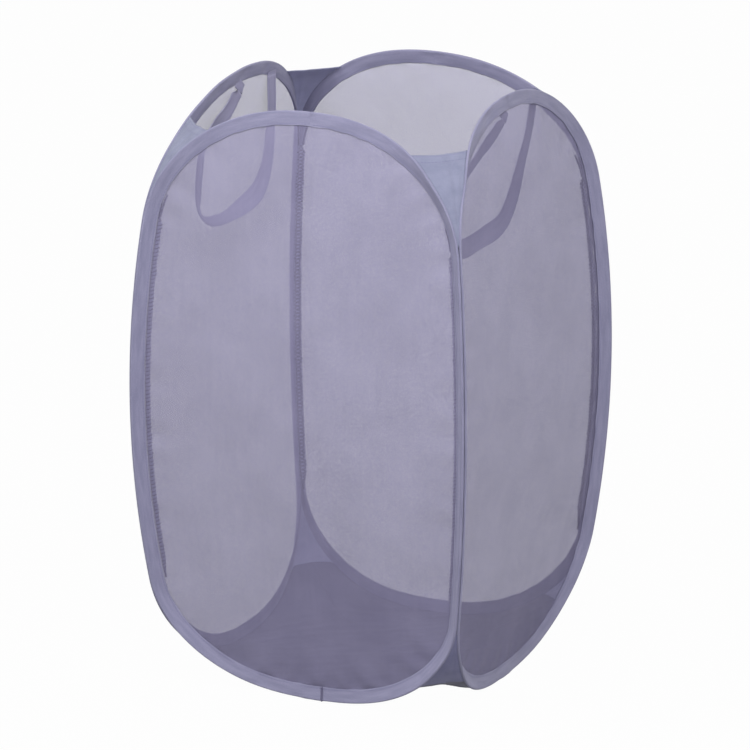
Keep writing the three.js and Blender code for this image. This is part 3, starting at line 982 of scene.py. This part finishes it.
def strap_frame(side, seed, count):
    """Middle, width and thickness directions and half width of a strap at places along it."""
    line, length = strap_line(count)
    along = unit(np.gradient(line, axis=0))
    t = np.linspace(0, 1, count)
    ends = np.minimum(smoothstep(t / 0.12), smoothstep((1 - t) / 0.12))
    turns = np.array(STRAP_TURNS[side])
    angle = np.radians(np.interp(t, turns[:, 0], turns[:, 1]))
    kernel = np.hanning(13)
    angle = np.convolve(np.pad(angle, 6, mode="edge"), kernel / kernel.sum(), mode="valid")
    angle *= np.minimum(1, np.minimum(t, 1 - t) / 0.03)
    flat = np.stack([0 * t, -along[:, 1], along[:, 0]], axis=-1)
    out = np.array([1.0, 0.0, 0.0])
    wide = flat * np.cos(angle)[:, None] + out * np.sin(angle)[:, None]
    thick = -flat * np.sin(angle)[:, None] + out * np.cos(angle)[:, None]
    bow = STRAP_BOW * wander(t * 0.9, 2, 5, seed) * ends
    middle = np.stack([bow, line[:, 0], line[:, 1]], axis=-1)
    half = STRAP_WIDTH / 2 * (1 - STRAP_NARROWING * ends * (1 + wander(t * 0.9, 3, 9, seed + 2)) / 2)
    return middle, wide, thick, half, ends, t * length


def strap_points(frame_at, across, square):
    """Points at shares of half the width across a strap and half its thickness square to it."""
    middle, wide, thick, half, ends, _ = frame_at
    across, square = np.atleast_1d(across), np.atleast_1d(square)
    cup = STRAP_CUP * (across ** 2 - 0.4) * ends[:, None]
    aside, lift = half[:, None] * across, square * STRAP_THICKNESS / 2 + cup
    return middle[:, None] + wide[:, None] * aside[..., None] + thick[:, None] * lift[..., None]


def handle(side, seed):
    """A strap handle below its hinge line, and the rows of stitches along its edges."""
    frame_at = strap_frame(side, seed, STRAP_RINGS)
    points = strap_points(frame_at, STRAP_SECTION[:, 0], STRAP_SECTION[:, 1])
    points[..., 2] = np.minimum(points[..., 2], 0)
    faces = tube_faces(*points.shape[:2])
    lengths = run_along(STRAP_SECTION * [STRAP_WIDTH / 2, STRAP_THICKNESS / 2])
    uv = places(lengths, frame_at[-1][:, None])
    rows = []
    for edge in (-0.72, 0.72):
        for face in (1, -1):
            line = strap_points(frame_at, edge, face * 0.9)[:, 0]
            keep = line[:, 2] < -0.002
            rows.append(row_of_stitches(line[keep], face * frame_at[2][keep], *STRAP_STITCH))
    sewn, sewn_faces, _ = joined(rows)
    return points, faces, uv, sewn, sewn_faces


# Reach of each sewn end above the hinge line, back and front. The front one goes into the tape's mouth
TAB_REACH = (0.0035, 0.0095)
TAB_OUT = (0.0, 0.0010)
TAB_STITCHES = ((0.5,), (0.3,))
RIM_LEAN = 0.19


def tabs(side):
    """The sewn ends of a handle, from its hinge line up to the rim tape, with their stitches."""
    frame_at = strap_frame(side, 1, STRAP_RINGS)
    sign = -1 if side == "left" else 1
    parts, rows = [], []
    for k, (end, inner) in enumerate(((0, 1), (-1, -2))):
        start = frame_at[0][end] * [0, 1, 1]
        up = unit(frame_at[0][end] - frame_at[0][inner]) * [0, 1, 1]
        up = unit(up + [0, 0, 0.5])
        wide = np.cross(up, [1.0, 0.0, 0.0])
        t = np.linspace(-0.1, 1, 12)
        middle = start + up * (t * TAB_REACH[k])[:, None]
        # It lies on the tape, so it follows the lean of the rim
        middle[:, 0] += sign * (smoothstep(t) * TAB_OUT[k] - RIM_LEAN * np.maximum(middle[:, 2], 0) * t)
        thin = STRAP_THICKNESS / 2 * (1 - 0.4 * smoothstep(t / 0.6))
        points = middle[:, None] + wide * (STRAP_SECTION[:, 0] * STRAP_WIDTH / 2 * 0.98)[:, None]
        points[..., 0] += STRAP_SECTION[:, 1] * thin[:, None]
        parts.append((points.reshape(-1, 3), tube_faces(*points.shape[:2])))
        for share in TAB_STITCHES[k]:
            row = int(share * (len(t) - 1))
            line = middle[row] + wide * (np.linspace(-0.8, 0.8, 12) * STRAP_WIDTH / 2)[:, None]
            for face in (1.0, -1.0):
                normal = np.array([face, 0.0, 0.0])
                rows.append(row_of_stitches(line + normal * thin[row], normal + 0 * line, *TAB_STITCH))
    points, faces, _ = joined(parts)
    sewn, sewn_faces, _ = joined(rows)
    return points, faces, sewn, sewn_faces


def hang(points, side):
    """Puts a handle's points at its hinge line on the left or the right rim, with its lean."""
    sign = -1 if side == "left" else 1
    lean = sign * LEAN[side]
    c, s = math.cos(lean), math.sin(lean)
    x, y, z = points[..., 0], points[..., 1], points[..., 2]
    return np.stack([c * x + s * z + sign * HINGE.x, y, -s * x + c * z + HINGE.z], axis=-1)


# Camera, floor and light

def add_camera():
    """The photograph's camera: turn, height and roll, and the pixel at which it sees the middle."""
    azimuth, elevation, roll = math.radians(25.27), math.radians(16.78), math.radians(-0.08)
    distance, lens, sensor, frame_size = 5.0637, 249.14, 36.0, 750
    seen_at = (374.43, 386.62)
    back = Vector((math.sin(azimuth) * math.cos(elevation), -math.cos(azimuth) * math.cos(elevation),
                   math.sin(elevation)))
    right = Vector((math.cos(azimuth), math.sin(azimuth), 0))
    up = back.cross(right)
    metres = distance * sensor / lens / frame_size
    middle = Vector((0, 0, 0.2775))
    shift = right * (frame_size / 2 - seen_at[0]) + up * (seen_at[1] - frame_size / 2)
    aim = middle + shift * metres
    place = middle + back * distance
    camera = bpy.data.objects.new("camera", bpy.data.cameras.new("camera"))
    bpy.context.scene.collection.objects.link(camera)
    camera.data.sensor_width = sensor
    camera.data.lens = lens
    camera.data.clip_start, camera.data.clip_end = 0.1, 60
    camera.location = place
    camera.rotation_mode = "QUATERNION"
    camera.rotation_quaternion = (aim - place).to_track_quat("-Z", "Y") @ Quaternion((0, 0, 1), roll)
    bpy.context.scene.camera = camera


def area_light(name, place, target, size, power):
    light = bpy.data.objects.new(name, bpy.data.lights.new(name, "AREA"))
    light.data.shape = "SQUARE"
    light.data.size = size
    light.data.energy = power
    light.location = place
    light.rotation_euler = (Vector(target) - Vector(place)).to_track_quat("-Z", "Y").to_euler()
    bpy.context.scene.collection.objects.link(light)


def seen_directly(tree):
    """1 for a ray from the camera, a reflection or a view through glass, and 0 for light."""
    path = tree.add("LightPath").outputs
    either = tree.math("MAXIMUM", path["Is Camera Ray"], path["Is Glossy Ray"])
    return tree.math("MAXIMUM", either, path["Is Transmission Ray"])


WORLD_LEVEL = 0.58
FLOOR_GLOW = 0.98
# Place, aim, size and power of each lamp
LIGHTS = {
    "softbox": ((-1.0, -1.4, 2.0), (0, 0, 0.33), 1.4, 22.0),
    "fill": ((2.2, -2.25, 1.2), (0, 0, 0.3), 1.8, 25.0),
    "high": ((0.8, -0.9, 1.8), (0, 0, 0.5), 0.8, 15.0),
    "side": ((-2.0, -0.9, 0.9), (0, 0, 0.3), 1.2, 6.0),
}
FLOOR_HALF = 14.0
FLOOR_DARK, FLOOR_LIGHT = (0.28, 0.28, 0.28), (0.32, 0.32, 0.32)


def add_surroundings():
    world = bpy.data.worlds.new("studio")
    bpy.context.scene.world = world
    world.use_nodes = True
    tree = Tree(world.node_tree)
    strength = tree.spread(seen_directly(tree), 0, 1, WORLD_LEVEL, 1.0)
    tree.fill(tree.nodes["Background"], {"Color": (1, 1, 1, 1), "Strength": strength})
    for name, (place, target, size, power) in LIGHTS.items():
        area_light(name, place, target, size, power)
    m, tree, shader = material("floor_white")
    grain = tree.noise(tree.add("TexCoord").outputs["Object"], 40.0)
    tree.fill(shader, {
        "Base Color": tree.tint(grain, FLOOR_DARK, FLOOR_LIGHT),
        "Roughness": 0.9,
        "Specular IOR Level": 0.1,
    })
    glow = tree.math("MULTIPLY", seen_directly(tree), FLOOR_GLOW)
    mix = tree.add("MixShader", {0: glow, 1: shader.outputs[0], 2: tree.add("Emission").outputs[0]})
    tree.fill(tree.nodes["Material Output"], {"Surface": mix.outputs[0]})
    corners = FLOOR_HALF * np.array([(-1, -1, 0), (1, -1, 0), (1, 1, 0), (-1, 1, 0)])
    make_object("floor", corners, [(0, 1, 2, 3)], [m])


add_camera()
add_surroundings()


# The object

def add_piece(name, shape, materials, corner=None, body=None, node=None, kinds=None):
    """A piece from points, faces and perhaps places on the cloth, with its place baked at a corner or fixed
    to one body.
    """
    obj = make_object(name, *shape[:2], materials, shape[2] if len(shape) > 2 else None, kinds)
    if corner:
        bend(obj)
    else:
        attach(obj, body)
    if node:
        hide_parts(node)
    return obj


# The back and left nets take the bluer copy of the net, with painted backlight
NETS = {"front": NET, "right": NET, "back": NET_FAR_PAINTED_BACKLIGHT, "left": NET_FAR_PAINTED_BACKLIGHT}
# The join in the front tape: the ring that it is sewn along, and its thread, a dark tube that also paints
# the shadow of the tape's lapped end
TAPE_JOIN_RING = 4
TAPE_JOIN_LIFT = 0.0003
TAPE_JOIN_RADIUS = 0.0010

for i, panel in enumerate(PANELS):
    for side, corner in zip((1, -1), SIDES[panel]):
        half = f"{'right' if side > 0 else 'left'}_half"
        net = add_piece(f"{panel}_net_{half}", net_half(panel, side, 100 + 20 * i), [NETS[panel]],
                        corner, node=f"{panel}_net_panel")
        shape = tape_half(panel, side, 500 + 20 * i)
        tape = add_piece(f"{panel}_rim_tape_{half}", shape, [TAPE], corner, node=f"{panel}_rim_tape")
        if (panel, side) == ("front", 1):
            line = shape[0][TAPE_JOIN_RING, :len(OUTER_SHARES) + 4] - [0, TAPE_JOIN_LIFT, 0]
            points, faces = tube(line, TAPE_JOIN_RADIUS)
            keep_above(points, STITCH_LOWEST)
            add_piece("front_rim_tape_join", (points, faces), [JOIN_THREAD_PAINTED_SHADOW], body=panel)
        add_piece(f"{panel}_wire_{half}", wire_half(panel, side), [WIRE],
                  corner, node=f"{panel}_spring_wire")
        shape = stitches_half(panel, side, 900 + 20 * i)
        add_piece(f"{panel}_rim_stitches_{half}", shape, [THREAD], corner)
    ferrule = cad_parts[f"{panel}_wire_ferrule"]
    ferrule.data.materials.clear()
    ferrule.data.materials.append(FERRULE)

for corner in CORNERS:
    quarters = corner_quarters(corner)
    late = corner == LATE_CORNER
    for word, width, upward in (("top", TOP_GUSSET, True), ("bottom", BOTTOM_GUSSET, False)):
        points, faces, kinds, uv, rows, _ = gusset(width, upward, GUSSET_SEED, late)
        # The gussets' inside faces take the lighter copy of the cloth, with painted light
        piece = add_piece(f"{corner}_{word}_gusset_cloth", (quarter_turn(points, quarters), faces, uv),
                          [CLOTH_OUTSIDE if upward else CLOTH_LOW_BASE_TONE_AND_SHADE, CLOTH_INSIDE_PAINTED_LIGHT],
                          corner, node=f"{corner}_{word}_gusset", kinds=kinds)
        if rows:
            rows = [row_of_stitches(line, OUTWARD + 0 * line, *HEM_STITCH) for line in rows]
            points, faces, _ = joined(rows)
            add_piece(f"{corner}_hem_stitches", (quarter_turn(points, quarters), faces),
                                         [THREAD], corner)
    points, faces, kinds = seam_piece(71 + quarters)
    add_piece(f"{corner}_seam_stitches", (quarter_turn(points, quarters), faces), [BINDING, SEAM_THREAD_PAINTED_SHADE],
              corner, node=f"{corner}_seam", kinds=kinds)

for i, panel in enumerate(PANELS):
    points, faces, uv = base_quarter(panel)
    base = make_object(f"base_cloth_{panel}_quarter", points, faces, [BASE], uv)
    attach(base, panel)
    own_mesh(base)
    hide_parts("base_cloth")

for side, sign, seed in (("left", -1, 11), ("right", 1, 12)):
    name = f"{side}_handle"
    points, faces, uv, sewn, sewn_faces = handle(side, seed)
    add_piece(f"{name}_strap", (hang(points, side), faces, uv), [STRAP], body=name, node=name)
    add_piece(f"{name}_stitches", (hang(sewn, side), sewn_faces), [THREAD], body=name)
    points, faces, sewn, sewn_faces = tabs(side)
    hinge = np.array([sign * HINGE.x, 0, HINGE.z])
    points = points + hinge
    add_piece(f"{name}_sewn_ends", (points, faces, points[:, 1:]), [STRAP], body=side)
    add_piece(f"{name}_end_stitches", (sewn + hinge, sewn_faces), [THREAD], body=side)

scene = bpy.context.scene
scene.view_settings.view_transform = "Standard"
